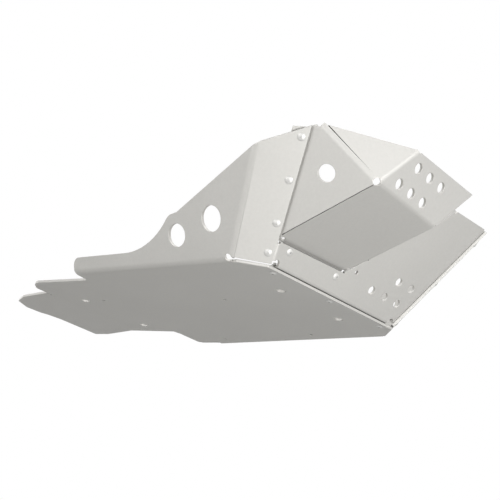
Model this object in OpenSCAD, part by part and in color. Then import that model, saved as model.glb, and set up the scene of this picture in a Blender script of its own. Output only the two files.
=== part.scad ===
// Motorcycle skid plate: a folded aluminium tray and a folded front panel, joined with
// blind rivets. +X is forward, +Y is the rider's left and +Z is up. The tray's
// underside is z = 0, and the origin is the centre of the four mounting holes.

/* [Sheet] */
// thickness of both sheets
sheet_t = 3; // [2:0.5:4]
// inside radius of the bends
bend_r = 4; // [3:0.5:6]
// space left between the two sheets where they are riveted
seam_gap = 0.05; // [0.03:0.01:0.3]
// width of the flanges that carry the rivets
flange_w = 19; // [16:1:26]

/* [Tray floor] */
// front edge ahead of the mounting pattern's centre
front_x = 205.8; // [190:1:225]
// right end of the front edge, from the centre line
front_right = 122; // [108:1:134]
// left end of the front edge, from the centre line
front_left = 94; // [80:1:106]
// how far the front corners run back
corner_run = 31.2; // [24:1:40]
// right fold line at its front end, from the centre line
fold_right = 147.4; // [138:1:160]
// left fold line at its front end, from the centre line
fold_left = 122.1; // [112:1:134]
// angle by which the left fold line opens out rearwards
flare_left = 3.75; // [2:0.25:5]
// angle by which the right fold line opens out rearwards
flare_right = -0.65; // [-2:0.05:1]
// rear tongue, measured from its bend
tongue_len = 115.5; // [80:1:150]
// rise of the rear tongue, in degrees
tongue_rise = 2; // [1:0.5:8]
// place of the rear tongue's bend
tongue_x = -197.8; // [-215:1:-185]
// right end of the tongue's bend, from the centre line
tongue_right = 78; // [70:1:86]
// left end of the tongue's bend, from the centre line
tongue_left = 73.6; // [66:1:82]

/* [Mounting holes] */
// spacing along the machine
mount_x = 325; // [300:1:350]
// spacing across the machine
mount_y = 102; // [90:1:115]
// diameter of the four mounting holes
mount_d = 11; // [8:0.5:13]
// diameter of the small holes
small_d = 4.5; // [3:0.5:6]

/* [Side walls] */
// lean of the side walls from upright
wing_lean = 23.8; // [15:0.5:32]
// length of the right wall's foot
wing_right = 250; // [220:1:262]
// length of the left wall's foot
wing_left = 277; // [240:1:290]
// height of the walls' low rear band
band_h = 17.8; // [14:1:26]
// radius of the sweep from the band up to the shoulder
sweep_r = 97.8; // [80:1:110]
// where the sweep starts, behind the front corner
sweep_start = 160.4; // [150:1:175]
// angle through which the sweep climbs
sweep_turn = 50.7; // [44:0.5:56]
// length of the shelf ahead of the shoulder
shelf_run = 13.5; // [8:0.5:18]
// height at which the walls meet the corner faces
shoulder_z = 105; // [90:1:118]
// height of the right corner face's top
crest_right = 127.6; // [120:1:140]
// how far the left corner face's top lies below the panel's top
crest_drop = 2.8; // [1:0.2:8]
// rear and front lightening holes of the walls
wing_hole_rear = 25; // [15:1:30]
wing_hole_front = 27.6; // [15:0.2:32]
// gap between the floor and the corner faces
slit = 0.9; // [0.5:0.1:2]
// inside radius of the wide bends between the walls and the corner faces
corner_r = 8.5; // [5:0.5:10]

/* [Front panel] */
// forward tilt of the panel from upright
panel_tilt = 28; // [20:0.5:36]
// slant height of the panel
panel_h = 149.2; // [120:1:165]
// right end of the panel's foot, from the centre line
foot_right = 116.6; // [104:1:126]
// left end of the panel's foot, from the centre line
foot_left = 90.7; // [78:1:100]
// lean of the right seam in the panel
seam_right = 19.5; // [14:0.5:26]
// lean of the left seam in the panel
seam_left = 21; // [14:0.5:26]
// lean of the fold between the panel and the scoop's left wall
wall_lean = 41.6; // [36:0.1:46]
// diameter of the panel's vent holes
vent_d = 9.6; // [6:0.2:12]
// pitch of the panel's vent holes
vent_pitch = 23.7; // [18:0.1:26]

/* [Scoop] */
// reach of the scoop's lower corner ahead of the front edge
scoop_x = 120.5; // [100:1:135]
// height of the scoop's lower corner
scoop_z = 82.3; // [72:1:92]
// height up the panel at which the scoop's underside starts
chin_t = 28; // [24:1:34]
// slope of that line across the panel
chin_slope = 1.2; // [0:0.1:2.5]
// width of the scoop's underside along its front fold
scoop_w = 114.5; // [95:1:125]
// height of the scoop's front face along its right edge
nose_h = 63.6; // [45:1:75]
// slant of the front face's right edge from the fold under it
nose_slant = 54.9; // [48:0.1:62]
// lean of the front face from upright
nose_tilt = 18.9; // [10:0.5:26]
// width of the slits between the folded faces
scoop_slit = 1.3; // [0.8:0.1:2]
// diameter of the vent holes in the scoop's front face
nose_vent_d = 11.7; // [8:0.1:13]
// diameter of the hole in the scoop's side
side_hole_d = 18.3; // [12:0.1:22]

/* [Rivets] */
// diameter of the rivet bodies
rivet_d = 4; // [3:0.1:4.8]
// diameter of the rivet heads
rivet_head_d = 8.5; // [7:0.1:10]
// height of the rivet heads
rivet_head_h = 1.3; // [0.9:0.1:1.4]

/* [Hidden] */
$fn = 64;
RIGHT = -1;
LEFT = 1;
X = [1, 0, 0];
Y = [0, 1, 0];
Z = [0, 0, 1];
// a bend is drawn out a little thinner than the flat faces and reaches into their edges
bend_thin = 0.01;
bend_lap = 0.2;
tongue_bend_r = 30;
relief_d = 8;
slit_relief_d = 5;
rivet_inset = 7.7;
band_round = 10;
rear_round = 27;
shoulder_round = 5;
shelf_rise = 2.2;
// centres of the walls' lightening holes, behind the front corner and up the wall
rear_hole_at = [73.8, 31.5];
front_hole_at = [20.5, 45];
// steps of the floor's rear edge, from the rear end of each wall's fold
left_steps = [[0, -7.2], [-29, -8.3], [-34.9, -12.7], [-32.8, -49], [-35.2, -59.2]];
right_steps = [[-9.5, 24.9], [-4, 20.6]];
small_holes = [[-130.6, -49.2], [59.2, -30.8], [-76.5, 116], [76.2, 106.7]];
// the tongue's edge, outwards from the ends of its bend and as shares of its length
tongue_right_edge = [[8.3, 0], [-7.8, 0.6], [-23.7, 0.86], [-50.2, 1], [-73.7, 1]];
tongue_left_edge = [[-66.4, 0.957], [-45.6, 0.936], [22.6, 0.983], [20.8, 0.727], [0.4, 0.124]];
// vents of the panel and of the scoop's front, and the other holes of the panel
vents_at = [-58, 26.1];
vent_row = [32, 22.2];
nose_rows = [[47.9, 37.6], [31, 12.4]];
drain_at = [113.5, 35.5];
foot_relief = [3.2, 4.5];
side_hole_at = [27.6, 111.2];
wall_foot_x = 97.1;
slit_run = 33;
bend_relief = 1;
// rivets as shares of the seams' lengths
right_shares = [0.09, 0.303, 0.608, 0.909];
left_shares = [0.056, 0.469, 0.882];
floor_shares = [0.053, 0.508, 0.952];
cutter = 50;
rear_corner_set = [4.6, 21.1];
rear_run = 32.5;
nose_flare = [36.7, 2.4];
alloy = [0.80, 0.80, 0.78];
steel = [0.62, 0.63, 0.64];

function unit(v) = v / norm(v);
function pick(side, right, left) = side < 0 ? right : left;

// the point where three planes meet, each plane given as [point, unit normal]
function meet(a, b, c) =
    ((a[0] * a[1]) * cross(b[1], c[1]) + (b[0] * b[1]) * cross(c[1], a[1])
    + (c[0] * c[1]) * cross(a[1], b[1])) / (a[1] * cross(b[1], c[1]));

// how far a flat face stops short of the sharp edge of an outward or inward bend
function out_set(a, b, r = bend_r) = (r + sheet_t) * tan(acos(a * b) / 2);
function in_set(a, b) = bend_r * tan(acos(a * b) / 2);

// a counter-clockwise outline whose edges are moved inwards by d, one value per edge
function inset(p, d) = [for (i = [0:len(p) - 1])
    let (j = (i + len(p) - 1) % len(p), k = (i + 1) % len(p),
        e = unit(p[i] - p[j]), f = unit(p[k] - p[i]), w = e.x * f.y - e.y * f.x)
    p[i] + [f.x * d[j] - e.x * d[i], f.y * d[j] - e.y * d[i]] / w];

// a band beside the line from p to q, between the distances a and b to its left
function band(p, q, a, b) = let (e = unit(q - p), m = [-e.y, e.x])
    [p + a * m, q + a * m, q + b * m, p + b * m];

// a face is [origin, local x direction, outward normal]
function flat(f, p) = [(p - f[0]) * f[1], (p - f[0]) * cross(f[2], f[1])];
function spot(f, x, y) = f[0] + x * f[1] + y * cross(f[2], f[1]);

module on_face(f) {
    v = cross(f[2], f[1]);
    multmatrix([[f[1].x, v.x, f[2].x, f[0].x], [f[1].y, v.y, f[2].y, f[0].y],
        [f[1].z, v.z, f[2].z, f[0].z], [0, 0, 0, 1]]) children();
}

module plate(f) {
    on_face(f) translate([0, 0, -sheet_t]) linear_extrude(sheet_t) children();
}

// a bend along the sharp line from p to q, between faces with outward normals a and b;
// way is 1 where the outside is the long side and -1 where it is the short side
module bend(p, q, a, b, way = 1, r = bend_r) {
    c = a * b;
    axis = cross(a, unit(b - c * a));
    start = (q - p) * axis > 0 ? p : q;
    lap = asin(bend_lap / (r + sheet_t));
    centre = start + (way > 0 ? -(r + sheet_t) : r) * (a + b) / (1 + c);
    on_face([centre, way * a, axis]) rotate([0, 0, -lap])
        rotate_extrude(angle = acos(c) + 2 * lap)
            translate([r + bend_thin, 0]) square([sheet_t - 2 * bend_thin, norm(q - p)]);
}

// everything on the outer side of the plane through p with normal n, near p
module beyond(p, n) {
    on_face([p, unit(cross(abs(n.z) > 0.9 ? X : Z, n)), n])
        translate([-cutter / 2, -cutter / 2, 0]) cube(cutter);
}

module hole_at(f, x, y, d) {
    on_face(f) translate([x, y, -cutter / 2]) cylinder(h = cutter, d = d);
}

// Side walls and corner faces. Both sides follow the same rules.
function flare(side) = pick(side, flare_right, flare_left);
function back(side) = [-cos(flare(side)), side * sin(flare(side)), 0];
function out(side) = [sin(flare(side)), side * cos(flare(side)), 0];
function wing_n(side) = cos(wing_lean) * out(side) - sin(wing_lean) * Z;
function wing_up(side) = sin(wing_lean) * out(side) + cos(wing_lean) * Z;
function anchor(side) = [front_x - corner_run, side * pick(side, fold_right, fold_left), 0];
function wing_plane(side) = [anchor(side), wing_n(side)];
function wing_len(side) = pick(side, wing_right, wing_left);

panel_n = [cos(panel_tilt), 0, -sin(panel_tilt)];
panel_up = [sin(panel_tilt), 0, cos(panel_tilt)];
function foot(side) = [front_x - 0.3, side * pick(side, foot_right, foot_left), sheet_t + seam_gap];
function seam_lean(side) = pick(side, seam_right, seam_left);
function seam(side) = cos(seam_lean(side)) * panel_up + side * sin(seam_lean(side)) * Y;

// the corner face lies one sheet outside the flange, which leaves the panel at the seam,
// and it passes through the front end of the wall's fold line
function corner_n(side) = let (m = seam(side), w = anchor(side) - foot(side),
    v = w - (w * m) * m, e = unit(v), s = (sheet_t + seam_gap) / norm(v))
    s * e - side * sqrt(1 - s * s) * cross(m, e);
function corner_foot(side) = foot(side) + (sheet_t + seam_gap) * corner_n(side);
function corner_plane(side) = [corner_foot(side), corner_n(side)];
function level(z) = [z * Z, Z];
function edge_at(side, z) = meet(wing_plane(side), corner_plane(side), level(z));

// faces whose local x runs rearwards on the left and forwards on the right
function wing_face(side) = [anchor(side), cross(wing_up(side), wing_n(side)), wing_n(side)];
function corner_face(side) = [corner_foot(side), cross(seam(side), corner_n(side)), corner_n(side)];
function flange_face(side) = [foot(side), cross(seam(side), corner_n(side)), corner_n(side)];
function rearward(side, p) = [side * p.x, p.y];

module side_plate(side, f) {
    plate(f) mirror([side < 0 ? 1 : 0, 0]) children();
}

shoulder = [sweep_start - sweep_r * sin(sweep_turn), band_h + sweep_r * (1 - cos(sweep_turn))];
shelf_end = shoulder + [-shelf_run, shelf_rise];

// points that round the corner c between the points a and b
function eased(a, c, b, n = 4) =
    [for (i = [0:n]) let (t = i / n) (1 - t) * (1 - t) * a + 2 * t * (1 - t) * c + t * t * b];

module wing_outline(side) {
    low = rearward(side, flat(wing_face(side), edge_at(side, 0)));
    high = rearward(side, flat(wing_face(side), edge_at(side, shoulder_z)));
    rounded = eased(shoulder + shoulder_round * [cos(sweep_turn), -sin(sweep_turn)], shoulder,
        shoulder + shoulder_round * unit(shelf_end - shoulder));
    fold_set = out_set(wing_n(side), -Z);
    corner_set = out_set(wing_n(side), corner_n(side), corner_r);
    difference() {
        polygon(inset(concat([low, [wing_len(side), 0], [wing_len(side), band_h],
            [sweep_start, band_h]], rounded, [shelf_end, high]),
            concat([fold_set], [for (i = [1:len(rounded) + 4]) 0], [corner_set])));
        translate([sweep_start, band_h + sweep_r]) circle(sweep_r);
        translate([wing_len(side), band_h]) rounded_off(band_round);
        translate(rear_hole_at) circle(d = wing_hole_rear);
        translate(front_hole_at) circle(d = wing_hole_front);
    }
}

// what is cut away to round the top right corner of an outline at the origin
module rounded_off(r) {
    difference() {
        translate([-r, -r]) square(r + 1);
        translate([-r, -r]) circle(r);
    }
}

// height of the corner face's top, measured along the seam
crest_left = foot(LEFT).z + panel_h * panel_up.z - crest_drop;
function crest_a(side) = (pick(side, crest_right, crest_left) - corner_foot(side).z) / seam(side).z;

module corner_outline(side) {
    f = corner_face(side);
    low = rearward(side, flat(f, edge_at(side, sheet_t + slit)));
    high = rearward(side, flat(f, edge_at(side, shoulder_z)));
    foot_a = (sheet_t + slit - corner_foot(side).z) / seam(side).z;
    polygon(inset([[1, foot_a], low, high, [1, crest_a(side)]],
        [0, out_set(wing_n(side), corner_n(side), corner_r), 0, 0]));
}

module side_wall(side) {
    side_plate(side, wing_face(side)) wing_outline(side);
    side_plate(side, corner_face(side)) corner_outline(side);
    bend(anchor(side), anchor(side) + wing_len(side) * back(side), -Z, wing_n(side));
    difference() {
        bend(edge_at(side, 0), edge_at(side, shoulder_z + corner_r), corner_n(side), wing_n(side),
            r = corner_r);
        beyond(edge_at(side, shoulder_z), top_cut(side));
        beyond(edge_at(side, sheet_t + slit), -Z);
    }
}

// the plane that trims the top of the bend holds the top edges of both of its faces
function top_cut(side) = let (k = edge_at(side, shoulder_z), wf = wing_face(side),
    s = spot(wf, side * shelf_end.x, shelf_end.y),
    c = corner_foot(side) + crest_a(side) * seam(side),
    n = unit(cross(s - k, c - k)))
    n.z > 0 ? n : -n;

tongue_n = [-sin(tongue_rise), 0, -cos(tongue_rise)];
tongue_face = [[tongue_x, 0, 0], -Y, tongue_n];

function wall_end(side) = let (p = anchor(side) + wing_len(side) * back(side)) [p.x, p.y];

module floor_outline() {
    ra = wall_end(RIGHT);
    la = wall_end(LEFT);
    rear_corner = [tongue_x, ra.y] + rear_corner_set;
    rs = out_set(-Z, wing_n(RIGHT));
    ls = out_set(-Z, wing_n(LEFT));
    ts = out_set(-Z, tongue_n, tongue_bend_r);
    difference() {
        polygon(inset(concat([[front_x, -front_right], [front_x, front_left],
            [anchor(LEFT).x, anchor(LEFT).y], la], [for (p = left_steps) la + p],
            [[tongue_x, tongue_left], [tongue_x, -tongue_right], [tongue_x + 1.8, -tongue_right],
            rear_corner, [tongue_x + rear_run, rear_corner.y + 0.8]], [for (p = right_steps) ra + p],
            [ra, [anchor(RIGHT).x, anchor(RIGHT).y]]),
            [0, 0, ls, 0, 0, 0, 0, 0, 0, ts, 0, 0, 0, 0, 0, 0, rs, 0]));
        translate(rear_corner + [0, 0.3]) rotate(180) rounded_off(rear_round);
    }
}

module tongue_outline() {
    ts = out_set(-Z, tongue_n, tongue_bend_r);
    polygon(inset(concat([[-tongue_left, 0]],
        [for (p = tongue_right_edge) [tongue_right + p.x, p.y * tongue_len]],
        [for (p = tongue_left_edge) [-tongue_left - p.x, p.y * tongue_len]]),
        [ts, 0, 0, 0, 0, 0, 0, 0, 0, 0, 0]));
}

module main_tray() color(alloy) {
    difference() {
        union() {
            linear_extrude(sheet_t) floor_outline();
            plate(tongue_face) tongue_outline();
            bend([tongue_x, tongue_left, 0], [tongue_x, -tongue_right, 0], -Z, tongue_n, r = tongue_bend_r);
            side_wall(RIGHT);
            side_wall(LEFT);
        }
        for (x = [-1, 1], y = [-1, 1]) {
            translate([x * mount_x / 2, y * mount_y / 2, -1]) cylinder(h = sheet_t + 2, d = mount_d);
        }
        for (p = small_holes) {
            translate([p.x, p.y, -1]) cylinder(h = sheet_t + 2, d = small_d);
        }
        for (side = [RIGHT, LEFT]) {
            relief = unit(corner_n(side) + wing_n(side) - Z);
            hole_at([anchor(side) + 0.6 * sheet_t * back(side) + sheet_t * wing_up(side),
                unit(cross(relief, X)), relief], 0, 0, relief_d);
        }
        rivet_holes();
    }
}

// Front panel. Every face below is measured from the right end of the panel's foot.
panel_face = [foot(RIGHT), Y, panel_n];
panel_w = foot_left + foot_right;
strip_plane_in = [foot(RIGHT) - (sheet_t + seam_gap) * panel_n, panel_n];
chin_root = strip_plane_in[0] + chin_t * panel_up;
scoop_corner = [front_x + scoop_x, -foot_right - 1.6, scoop_z];
chin_run = cos(chin_slope) * Y + sin(chin_slope) * panel_up;
chin_n = let (n = unit(cross(chin_run, scoop_corner - chin_root))) n.z < 0 ? n : -n;
chin_plane = [chin_root, chin_n];
chin_face = [chin_root, chin_run, chin_n];

// the fold at the foot of the scoop's left wall runs up the panel in a straight line
wall_foot = [wall_foot_x, chin_t + wall_foot_x * tan(chin_slope)];
wall_top = wall_foot + (panel_h - wall_foot.y) * [tan(wall_lean), 1];
wall_foot_3d = spot(panel_face, wall_foot.x, wall_foot.y);
wall_top_3d = spot(panel_face, wall_top.x, wall_top.y);

// the fold under the scoop's front face, from the lower corner to the left
fold_run = unit([-0.0921, 1, (0.0921 * chin_n.x - chin_n.y) / chin_n.z]);
scoop_left = scoop_corner + scoop_w * fold_run;
wall_n = let (n = unit(cross(wall_top_3d - wall_foot_3d, scoop_left - wall_foot_3d))) n.z < 0 ? n : -n;
wall_plane = [wall_top_3d, wall_n];
wall_face = [wall_foot_3d, unit(wall_top_3d - wall_foot_3d), wall_n];

nose_up = unit(cross(unit([cos(nose_tilt), 0.075, -sin(nose_tilt)]), fold_run));
nose_n = cross(fold_run, nose_up);
nose_face = [scoop_corner, fold_run, nose_n];
nose_plane = [scoop_corner, nose_n];
nose_right_top = spot(nose_face, nose_h * cos(nose_slant), nose_h * sin(nose_slant));
nose_left_top = spot(nose_face, scoop_w + nose_flare.x, nose_h * sin(nose_slant) + nose_flare.y);

// the scoop's side holds the right seam and the scoop's lower corner
side_n = let (n = unit(cross(seam(RIGHT), scoop_corner - foot(RIGHT)))) n.z < 0 ? n : -n;
side_plane = [foot(RIGHT), side_n];
side_face = [foot(RIGHT), cross(seam(RIGHT), side_n), side_n];
seam_top = crest_a(RIGHT) + 0.7;
side_top = spot(side_face, 9, seam_top + 3.6);

top_n = let (n = unit(cross(nose_right_top - scoop_corner, side_top - scoop_corner))) n.z > 0 ? n : -n;
top_face = [scoop_corner, unit(nose_right_top - scoop_corner), top_n];

// the strip's top edge lies along the chin's fold
function strip_top(y) = chin_t + y * tan(chin_slope) - in_set(chin_n, panel_n) - 0.3;
strip_slope = tan(chin_slope);
strip_end = strip_top(0) / (cos(seam_right) + strip_slope * sin(seam_right));

module panel_outline() {
    down = unit(wall_top - wall_foot);
    root = wall_foot + (strip_top(wall_foot.x) - wall_foot.y) / (down.y - strip_slope * down.x) * down;
    wall_set = in_set(wall_n, panel_n);
    difference() {
        union() {
            polygon(inset([[0, 0], [panel_w, 0], [panel_w + panel_h * tan(seam_left), panel_h],
                wall_top, root, strip_end * [-sin(seam_right), cos(seam_right)]],
                [out_set(panel_n, -Z), out_set(panel_n, corner_n(LEFT)), 0, wall_set, 0,
                out_set(panel_n, corner_n(RIGHT))]));
            polygon(band(wall_foot + (slit_run - bend_relief) * down, root + 2 * down, scoop_slit / 2,
                wall_set + 0.5));
        }
        for (p = [[0, 0], [1, 0], [2, 0], [0, 1], [1, 1]]) {
            translate([panel_w + p.x * vent_pitch, 0] + vents_at + p.y * vent_row) circle(d = vent_d);
        }
        translate(drain_at) circle(d = small_d);
        translate(foot_relief) circle(d = relief_d);
        translate([panel_w - foot_relief.x, foot_relief.y]) circle(d = relief_d);
    }
}

left_end = panel_h / cos(seam_left);

module flange(side, from, to, inner) {
    side_plate(side, flange_face(side))
        polygon([[inner, from + 2], [flange_w, from + 6], [flange_w, to - 6], [inner, to - 2]]);
}

module lower_panel() {
    plate(panel_face) panel_outline();
    foot_set = out_set(panel_n, -Z);
    translate([front_x - 0.3 - foot_set - flange_w, -foot_right + 4, sheet_t + seam_gap])
        cube([flange_w, panel_w - 8, sheet_t]);
    bend(foot(RIGHT) + 8 * Y, foot(LEFT) - 8 * Y, panel_n, -Z);
    bend(foot(LEFT) + 5 * seam(LEFT), foot(LEFT) + (left_end - 2) * seam(LEFT), panel_n, corner_n(LEFT));
    flange(LEFT, 3, left_end, out_set(panel_n, corner_n(LEFT)));
    bend(foot(RIGHT) + 6 * seam(RIGHT), foot(RIGHT) + (strip_end - 3) * seam(RIGHT),
        panel_n, corner_n(RIGHT));
    flange(RIGHT, 4, strip_end - 1, out_set(panel_n, corner_n(RIGHT)));
}

module chin() {
    low_right = meet(side_plane, chin_plane, strip_plane_in);
    low_left = meet(wall_plane, chin_plane, strip_plane_in);
    root_set = in_set(chin_n, panel_n);
    edge_set = out_set(chin_n, wall_n);
    a = flat(chin_face, low_left);
    b = flat(chin_face, scoop_left);
    run = unit(b - a);
    plate(chin_face) {
        polygon(inset([flat(chin_face, low_right), a, b, flat(chin_face, scoop_corner)],
            [root_set, edge_set, out_set(chin_n, nose_n), scoop_slit / 2]));
        polygon(band(b - 12 * run, b - out_set(chin_n, nose_n) * run, 0.3, edge_set + 0.5));
    }
    // its flange lies behind the strip
    bend(low_right + 6 * chin_run, low_left - 5 * chin_run, chin_n, panel_n, way = -1);
    plate([chin_root, chin_run, panel_n]) translate([2, 12 - chin_t])
        square([wall_foot.x - 5, chin_t - root_set - 12]);
    // the outward bend to the scoop's left wall
    side_run = unit(scoop_left - low_left);
    bend(low_left + 7 * side_run, scoop_left - 10 * side_run, chin_n, wall_n);
}

module left_wall() {
    low = flat(wall_face, meet(wall_plane, chin_plane, [foot(RIGHT), panel_n]));
    top = flat(wall_face, wall_top_3d);
    front = flat(wall_face, scoop_left);
    foot_set = in_set(wall_n, panel_n);
    plate(wall_face) {
        difference() {
            union() {
                polygon(inset([low, top, front], [foot_set, 0, out_set(wall_n, chin_n)]));
                polygon(band(low + [6, 0], [slit_run - bend_relief, low.y], 0.4, foot_set + 0.5));
            }
            translate(front) circle(10);
            translate(low) circle(7);
        }
    }
    bend(wall_foot_3d + slit_run * wall_face[1], wall_top_3d - 2 * wall_face[1], panel_n, wall_n, way = -1);
}

module nose() {
    plate(nose_face) difference() {
        polygon(inset([[0, 0], [scoop_w, 0], flat(nose_face, nose_left_top),
            flat(nose_face, nose_right_top)],
            [out_set(nose_n, chin_n), 0, 0, out_set(nose_n, top_n)]));
        for (row = nose_rows, i = [0:2]) {
            translate(row + [i * vent_pitch, 0]) circle(d = nose_vent_d);
        }
    }
    bend(scoop_corner, scoop_left, chin_n, nose_n);
    bend(scoop_corner, nose_right_top, nose_n, top_n);
}

module top_facet() {
    t = flat(top_face, side_top);
    e = flat(top_face, nose_right_top);
    plate(top_face)
        polygon(inset([[0, 0], e, e + 0.055 * (t - e) + [1.5, 0], t + [1.5, 0]],
            [out_set(nose_n, top_n), 0, 0, out_set(side_n, top_n)]));
    bend(scoop_corner, side_top, top_n, side_n);
}

module scoop_side() {
    root = flat(side_face, meet(side_plane, chin_plane, strip_plane_in));
    start = strip_end + 4;
    plate(side_face) difference() {
        polygon(inset([root, flat(side_face, scoop_corner), flat(side_face, side_top), [0, seam_top]],
            [scoop_slit / 2, out_set(side_n, top_n), 0, in_set(side_n, corner_n(RIGHT))]));
        translate(side_hole_at) circle(d = side_hole_d);
        // the rounded notch beside the seam's top
        polygon(concat([[1.2, seam_top + 9]], eased([2, seam_top + 3], [5.8, seam_top - 4.4],
            [9.2, seam_top + 4.6]), [[9.6, seam_top + 9]]));
    }
    bend(foot(RIGHT) + start * seam(RIGHT), foot(RIGHT) + (seam_top - 1) * seam(RIGHT),
        side_n, corner_n(RIGHT), way = -1);
    flange(RIGHT, start, seam_top - 1, in_set(side_n, corner_n(RIGHT)));
}

module front_panel() color(alloy) {
    difference() {
        union() {
            lower_panel();
            chin();
            left_wall();
            nose();
            top_facet();
            scoop_side();
        }
        corner_axis = unit(chin_n + nose_n + top_n + side_n);
        hole_at([scoop_corner, unit(cross(corner_axis, X)), corner_axis], 0, 0, relief_d);
        slit_axis = unit(chin_n + side_n);
        hole_at([spot(panel_face, -6, chin_t + 1), unit(cross(slit_axis, X)), slit_axis],
            0, 0, slit_relief_d);
        rivet_holes();
    }
}

// Rivets. Each place is [face, x, y], with the head on the face's outer side.
right_seam_places = [for (a = right_shares)
    [corner_face(RIGHT), -rivet_inset, a * crest_a(RIGHT)]];
left_seam_places = [for (a = left_shares) [corner_face(LEFT), rivet_inset, a * left_end]];
strip_places = [for (x = [11.8, wall_foot_x - 7.8]) [panel_face, x, chin_t - 6.9]];
floor_places = [for (a = floor_shares) [[[front_x - 7.6, a * panel_w - foot_right, 0], Y, -Z], 0, 0]];

grip = 2 * sheet_t + seam_gap;
mandrel_d = 0.5 * rivet_d;
rivet_play = 0.05;

module at_places(places) {
    for (p = places) {
        on_face(p[0]) translate([p[1], p[2], 0]) children();
    }
}

module rivet_holes() {
    at_places(concat(right_seam_places, left_seam_places, strip_places, floor_places))
        translate([0, 0, -grip - 1]) cylinder(h = grip + 2, d = rivet_d + 2 * rivet_play);
}

// the sleeve: a domed head, a body through both sheets and a swollen blind end
module sleeve() {
    dome_r = (rivet_head_h * rivet_head_h + rivet_head_d * rivet_head_d / 4) / (2 * rivet_head_h);
    blind = grip + seam_gap;
    difference() {
        union() {
            translate([0, 0, seam_gap]) intersection() {
                translate([0, 0, rivet_head_h - dome_r]) sphere(dome_r);
                cylinder(h = rivet_head_h + 1, d = rivet_head_d + 1);
            }
            translate([0, 0, -blind - 3]) cylinder(h = blind + 3.5, d = rivet_d);
            translate([0, 0, -blind - 2.6]) cylinder(h = 2.6, d = 1.45 * rivet_d);
        }
        translate([0, 0, -blind - 4]) cylinder(h = blind + 10, d = mandrel_d + 2 * rivet_play);
    }
}

// the mandrel's stub, broken off just below the head's crown
module mandrel() {
    blind = grip + seam_gap;
    translate([0, 0, -blind - 3.5]) cylinder(h = blind + 3.5 + 0.7 * rivet_head_h, d = mandrel_d);
    translate([0, 0, -blind - 4.6]) cylinder(h = 1.5, d = 0.9 * rivet_d);
}

module rivets_right_seam() color(alloy) at_places(right_seam_places) sleeve();
module rivets_left_seam() color(alloy) at_places(left_seam_places) sleeve();
module rivets_strip() color(alloy) at_places(strip_places) sleeve();
module rivets_floor() color(alloy) at_places(floor_places) sleeve();
module mandrels_right_seam() color(steel) at_places(right_seam_places) mandrel();
module mandrels_left_seam() color(steel) at_places(left_seam_places) mandrel();
module mandrels_strip() color(steel) at_places(strip_places) mandrel();
module mandrels_floor() color(steel) at_places(floor_places) mandrel();

main_tray();
front_panel();
rivets_right_seam();
rivets_left_seam();
rivets_strip();
rivets_floor();
mandrels_right_seam();
mandrels_left_seam();
mandrels_strip();
mandrels_floor();
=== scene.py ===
import math
import bpy
from mathutils import Matrix, Vector

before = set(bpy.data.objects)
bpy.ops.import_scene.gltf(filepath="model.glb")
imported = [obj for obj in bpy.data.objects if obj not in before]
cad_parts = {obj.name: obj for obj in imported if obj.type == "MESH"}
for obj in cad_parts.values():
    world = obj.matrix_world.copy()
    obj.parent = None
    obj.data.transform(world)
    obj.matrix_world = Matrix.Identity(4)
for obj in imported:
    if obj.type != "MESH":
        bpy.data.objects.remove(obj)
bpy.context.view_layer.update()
print("skid plate loaded:", ", ".join(sorted(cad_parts)))


# the photograph's camera, low in front of the plate on its right
camera = {
    "place": (1.0858, -1.0310, -0.3611),  # metres, in the plate's own frame
    "azimuth": 45.05,
    "elevation": -16.53,
    "roll": 11.26,
    "lens": 93.14,
    "sensor": 36.0,
    "reach": (0.05, 60.0),  # nearest and farthest seen, metres
}


def addCamera(settings):
    around = math.radians(settings["azimuth"])
    above = math.radians(settings["elevation"])
    level = Vector((math.cos(around), math.sin(around), 0.0))
    behind = Vector((math.sin(around), -math.cos(around), 0.0))
    back = behind * math.cos(above) + Vector((0.0, 0.0, math.sin(above)))
    right = Matrix.Rotation(math.radians(settings["roll"]), 3, back) @ level
    up = back.cross(right)
    data = bpy.data.cameras.new("photoView")
    data.sensor_fit = "HORIZONTAL"
    data.sensor_width = settings["sensor"]
    data.lens = settings["lens"]
    data.clip_start, data.clip_end = settings["reach"]
    seen = bpy.data.objects.new("photoView", data)
    bpy.context.collection.objects.link(seen)
    turn = Matrix((right, up, back)).transposed().to_4x4()
    seen.matrix_world = Matrix.Translation(settings["place"]) @ turn
    bpy.context.scene.camera = seen


addCamera(camera)
print("camera placed")


class Wire:
    # one output of a node; sums and products of wires add Math nodes
    def __init__(self, finish, socket):
        self.finish = finish
        self.socket = socket

    def maths(self, operation, first, second):
        return self.finish.node("ShaderNodeMath", {"operation": operation}, {0: first, 1: second})

    def __add__(self, other):
        return self.maths("ADD", self, other)

    def __radd__(self, other):
        return self.maths("ADD", other, self)

    def __sub__(self, other):
        return self.maths("SUBTRACT", self, other)

    def __rsub__(self, other):
        return self.maths("SUBTRACT", other, self)

    def __mul__(self, other):
        return self.maths("MULTIPLY", self, other)

    def __rmul__(self, other):
        return self.maths("MULTIPLY", other, self)

    def clip(self):
        return self.finish.node("ShaderNodeClamp", {}, {"Value": self})


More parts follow.
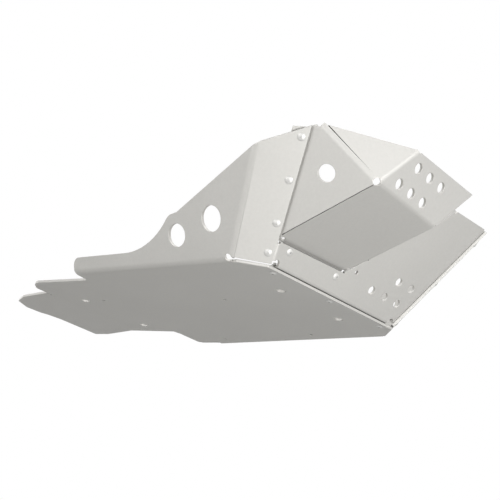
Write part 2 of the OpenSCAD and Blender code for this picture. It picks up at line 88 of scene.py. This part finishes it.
class Finish:
    def __init__(self, name, world=False):
        if world:
            self.data = bpy.data.worlds.new(name)
        else:
            self.data = bpy.data.materials.new(name)
        self.data.use_nodes = True
        self.tree = self.data.node_tree
        self.tree.nodes.clear()

    def plug(self, socket, value):
        if isinstance(value, Wire):
            self.tree.links.new(value.socket, socket)
        else:
            socket.default_value = value

    def node(self, kind, settings, values, output=0):
        made = self.tree.nodes.new(kind)
        for name, value in settings.items():
            setattr(made, name, value)
        for name, value in values.items():
            self.plug(made.inputs[name], value)
        return Wire(self, made.outputs[output] if len(made.outputs) else None)

    def mixColour(self, amount, first, second):
        # by number, because the Mix node gives its sockets of each data type the same names
        sockets = {0: amount, 6: first, 7: second}
        return self.node("ShaderNodeMix", {"data_type": "RGBA"}, sockets, 2)

    def seen(self):
        # 1 where the camera or a reflection looks, 0 for the light that falls on things
        camera = self.node("ShaderNodeLightPath", {}, {}, "Is Camera Ray")
        glossy = self.node("ShaderNodeLightPath", {}, {}, "Is Glossy Ray")
        through = self.node("ShaderNodeLightPath", {}, {}, "Is Transmission Ray")
        return (camera + glossy + through).clip()

    def paintedShade(self, settings):
        # painted shade mask: 1 deep in a gap, 0 on open sheet; it darkens the colour where shade
        # falls in slits and laps
        reach = {"Distance": settings["paintedShadeReach"]}
        openness = self.node("ShaderNodeAmbientOcclusion", {"samples": 8}, reach, "AO")
        return ((settings["paintedShadeStart"] - openness) * settings["paintedShadeGain"]).clip()

    def noise(self, where, pattern):
        scale, detail, roughness = pattern
        values = {"Vector": where, "Scale": scale, "Detail": detail, "Roughness": roughness}
        return self.node("ShaderNodeTexNoise", {}, values)

    def surface(self, values):
        shader = self.node("ShaderNodeBsdfPrincipled", {}, values)
        self.node("ShaderNodeOutputMaterial", {}, {"Surface": shader})
        return self.data


def rgba(tone, lift=1.0):
    return (*(min(1.0, part * lift) for part in tone), 1.0)


sheetLook = {
    "tone": (0.565, 0.556, 0.532),
    "metallic": 0.62,
    "roughness": 0.46,
    "specular": 0.2,
    "grazing": (0.5, 0.5, 0.5),  # keeps the matt sheet from glaring edge-on
    # noises: scale per metre, detail, roughness
    "grain": (2600.0, 3.0, 0.62),  # the fine matt of the anodising
    "streak": (1.0, 3.0, 0.6),
    "rolling": (9.0, 620.0, 620.0),  # stretches the streaks along the sheet's rolling
    "mottle": (330.0, 3.0, 0.65),
    "cloud": (7.0, 2.0, 0.5),
    "shares": {"streak": 0.14, "cloud": 0.24, "grain": 0.2, "mottle": 0.26},  # in the colour
    "spread": 0.20,  # lighter and darker than the tone by this
    "roughShares": {"streak": 0.10, "grain": 0.08, "edge": 0.08},
    "bump": 0.2,
    "bumpDepth": 0.00002,
    "bumpStreak": 0.4,
    "edge": 0.0008,  # how far the cut edges are rounded, metres
    "edgeGain": 7.0,
    # painted highlight: the rounded cut edges are lightened in the colour by these
    "edgeHighlightShare": 0.8,
    "edgeHighlightLift": 1.06,
    "paintedShadeReach": 0.006,  # painted shade: slits and laps are darkened in the colour within this
    "paintedShadeStart": 0.68,  # how far a spot is closed in before the painted shade darkens it, 1 is open
    "paintedShadeGain": 2.4,
    # colour of the painted shade in slits and laps
    "paintedShadeTone": (0.035, 0.034, 0.032),
}


def sheetFinish(name, settings):
    finish = Finish(name)
    tone = settings["tone"]
    where = finish.node("ShaderNodeTexCoord", {}, {}, "Object")
    along = finish.node("ShaderNodeMapping", {}, {"Vector": where, "Scale": settings["rolling"]})
    noises = {
        "streak": finish.noise(along, settings["streak"]),
        "cloud": finish.noise(where, settings["cloud"]),
        "grain": finish.noise(where, settings["grain"]),
        "mottle": finish.noise(where, settings["mottle"]),
    }
    rounded = finish.node("ShaderNodeBevel", {"samples": 6}, {"Radius": settings["edge"]})
    flat = finish.node("ShaderNodeNewGeometry", {}, {}, "Normal")
    product = {"operation": "DOT_PRODUCT"}
    facing = finish.node("ShaderNodeVectorMath", product, {0: rounded, 1: flat}, "Value")
    edge = ((1.0 - facing) * settings["edgeGain"]).clip()
    shade = 0.5
    for kind, share in settings["shares"].items():
        shade = shade + (noises[kind] - 0.5) * share
    dark, light = 1.0 - settings["spread"], 1.0 + settings["spread"]
    plain = finish.mixColour(shade.clip(), rgba(tone, dark), rgba(tone, light))
    # painted highlight: cut edges are made lighter in the colour
    edgeHighlighted = finish.mixColour(edge * settings["edgeHighlightShare"], plain, rgba(tone, settings["edgeHighlightLift"]))
    rough = settings["roughness"] - edge * settings["roughShares"]["edge"]
    for kind in ("streak", "grain"):
        rough = rough + (noises[kind] - 0.5) * settings["roughShares"][kind]
    height = noises["grain"] + noises["streak"] * settings["bumpStreak"]
    # painted shade: the colour is darkened toward a dark tone in slits, laps and gaps
    colour = finish.mixColour(finish.paintedShade(settings), edgeHighlighted, rgba(settings["paintedShadeTone"]))
    relief = {
        "Strength": settings["bump"],
        "Distance": settings["bumpDepth"],
        "Height": height,
        "Normal": rounded,
    }
    return finish.surface(
        {
            "Base Color": colour,
            "Metallic": settings["metallic"],
            "Roughness": rough,
            "Specular IOR Level": settings["specular"],
            "Specular Tint": rgba(settings["grazing"]),
            "Normal": finish.node("ShaderNodeBump", {}, relief),
        }
    )


rivetLook = {
    "tone": (0.60, 0.594, 0.576),
    "metallic": 0.5,
    "roughness": 0.52,
    "scuff": (900.0, 3.0, 0.6),  # noise: scale per metre, detail, roughness
    "spread": 0.12,
    "roughScuff": 0.16,
    "bump": 0.3,
    "bumpDepth": 0.00004,
    "paintedShadeReach": 0.003,  # painted shade darkens the foot of each head
    "paintedShadeStart": 0.98,
    "paintedShadeGain": 4.0,
    "paintedShadeTone": (0.10, 0.098, 0.094),
}

mandrelLook = {
    "tone": (0.58, 0.575, 0.56),
    "metallic": 0.6,
    "roughness": 0.5,
    "scuff": (1400.0, 3.0, 0.6),
    "spread": 0.12,
    "roughScuff": 0.16,
    "bump": 0.3,
    "bumpDepth": 0.00004,
    # painted shade darkens the mandrel where it is closed in
    "paintedShadeReach": 0.0012,
    "paintedShadeStart": 0.7,
    "paintedShadeGain": 2.0,
    "paintedShadeTone": (0.10, 0.098, 0.094),
}


def smallFinish(name, settings):
    finish = Finish(name)
    where = finish.node("ShaderNodeTexCoord", {}, {}, "Object")
    scuff = finish.noise(where, settings["scuff"])
    dark, light = 1.0 - settings["spread"], 1.0 + settings["spread"]
    plain = finish.mixColour(scuff, rgba(settings["tone"], dark), rgba(settings["tone"], light))
    # painted shade: the colour is darkened where the head or mandrel is closed in
    colour = finish.mixColour(finish.paintedShade(settings), plain, rgba(settings["paintedShadeTone"]))
    relief = {"Strength": settings["bump"], "Distance": settings["bumpDepth"], "Height": scuff}
    return finish.surface(
        {
            "Base Color": colour,
            "Metallic": settings["metallic"],
            "Roughness": settings["roughness"] + (scuff - 0.5) * settings["roughScuff"],
            "Normal": finish.node("ShaderNodeBump", {}, relief),
        }
    )


satin = sheetFinish("satinAluminium", sheetLook)
rivetMetal = smallFinish("rivetAluminium", rivetLook)
mandrelMetal = smallFinish("mandrelSteel", mandrelLook)
for name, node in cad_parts.items():
    if name.startswith("mandrels"):
        look = mandrelMetal
    elif name.startswith("rivets"):
        look = rivetMetal
    else:
        look = satin
    for slot in node.material_slots:
        slot.material = look
print("finishes on", len(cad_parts), "nodes")


studio = {
    "floorSize": 40.0,
    "floorHeight": -0.8,  # under the camera, which looks up at the plate
    "floorTone": (0.56, 0.56, 0.555),
    "floorRoughness": 0.9,
    "fade": (1.6, 6.0),  # the floor turns into the white backdrop between these, metres
    "white": (1.0, 1.0, 1.0),
    "ambient": 0.24,  # light that falls on the plate from all round
    "backdrop": 1.0,  # what the camera and reflections see behind it
}

lamps = {
    "overhead": {"place": (0.3, -0.3, 5.0), "aim": (0.3, -0.3, 0.0), "size": 7.0, "watts": 188.0},
    "front": {"place": (2.6, -0.2, 0.3), "aim": (0.2, 0.0, 0.0), "size": 1.3, "watts": 20.5},
    "right": {"place": (0.1, -2.6, 0.3), "aim": (0.0, 0.0, 0.0), "size": 1.3, "watts": 26.5},
    "left": {"place": (-0.1, 2.6, 0.6), "aim": (0.0, 0.0, 0.0), "size": 1.4, "watts": 13.0},
    "rear": {"place": (-2.6, 0.2, 0.6), "aim": (0.0, 0.0, 0.0), "size": 1.4, "watts": 12.0},
    "low": {"place": (1.3, -0.4, -0.45), "aim": (0.1, 0.0, 0.0), "size": 0.5, "watts": 9.0},
}


def addFloor(settings):
    bpy.ops.object.select_all(action="DESELECT")
    spot = (0.0, 0.0, settings["floorHeight"])
    bpy.ops.mesh.primitive_plane_add(size=settings["floorSize"], location=spot)
    ground = bpy.context.object
    ground.name = "studioFloor"
    finish = Finish("studioFloorPaint")
    paint = {"Base Color": rgba(settings["floorTone"]), "Roughness": settings["floorRoughness"]}
    painted = finish.node("ShaderNodeBsdfPrincipled", {}, paint)
    where = finish.node("ShaderNodeTexCoord", {}, {}, "Object")
    away = finish.node("ShaderNodeVectorMath", {"operation": "LENGTH"}, {0: where}, "Value")
    near, far = settings["fade"]
    fade = ((away - near) * (1.0 / (far - near))).clip()
    glow = {"Color": rgba(settings["white"]), "Strength": settings["backdrop"]}
    white = finish.node("ShaderNodeEmission", {}, glow)
    shader = finish.node("ShaderNodeMixShader", {}, {0: finish.seen() * fade, 1: painted, 2: white})
    finish.node("ShaderNodeOutputMaterial", {}, {"Surface": shader})
    ground.data.materials.append(finish.data)


def addLamp(name, settings):
    data = bpy.data.lights.new(name, "AREA")
    data.shape = "SQUARE"
    data.size = settings["size"]
    data.energy = settings["watts"]
    lamp = bpy.data.objects.new(name, data)
    bpy.context.collection.objects.link(lamp)
    lamp.location = settings["place"]
    lamp.visible_camera = False
    toward = Vector(settings["aim"]) - Vector(settings["place"])
    lamp.rotation_euler = toward.to_track_quat("-Z", "Y").to_euler()


def lightAllRound(settings):
    finish = Finish("studioLight", world=True)
    strength = settings["ambient"] + finish.seen() * (settings["backdrop"] - settings["ambient"])
    glow = {"Color": rgba(settings["white"]), "Strength": strength}
    sky = finish.node("ShaderNodeBackground", {}, glow)
    finish.node("ShaderNodeOutputWorld", {}, {"Surface": sky})
    bpy.context.scene.world = finish.data


addFloor(studio)
for name, settings in lamps.items():
    addLamp(name, settings)
lightAllRound(studio)
bpy.context.scene.view_settings.view_transform = "Standard"
print("studio lit")
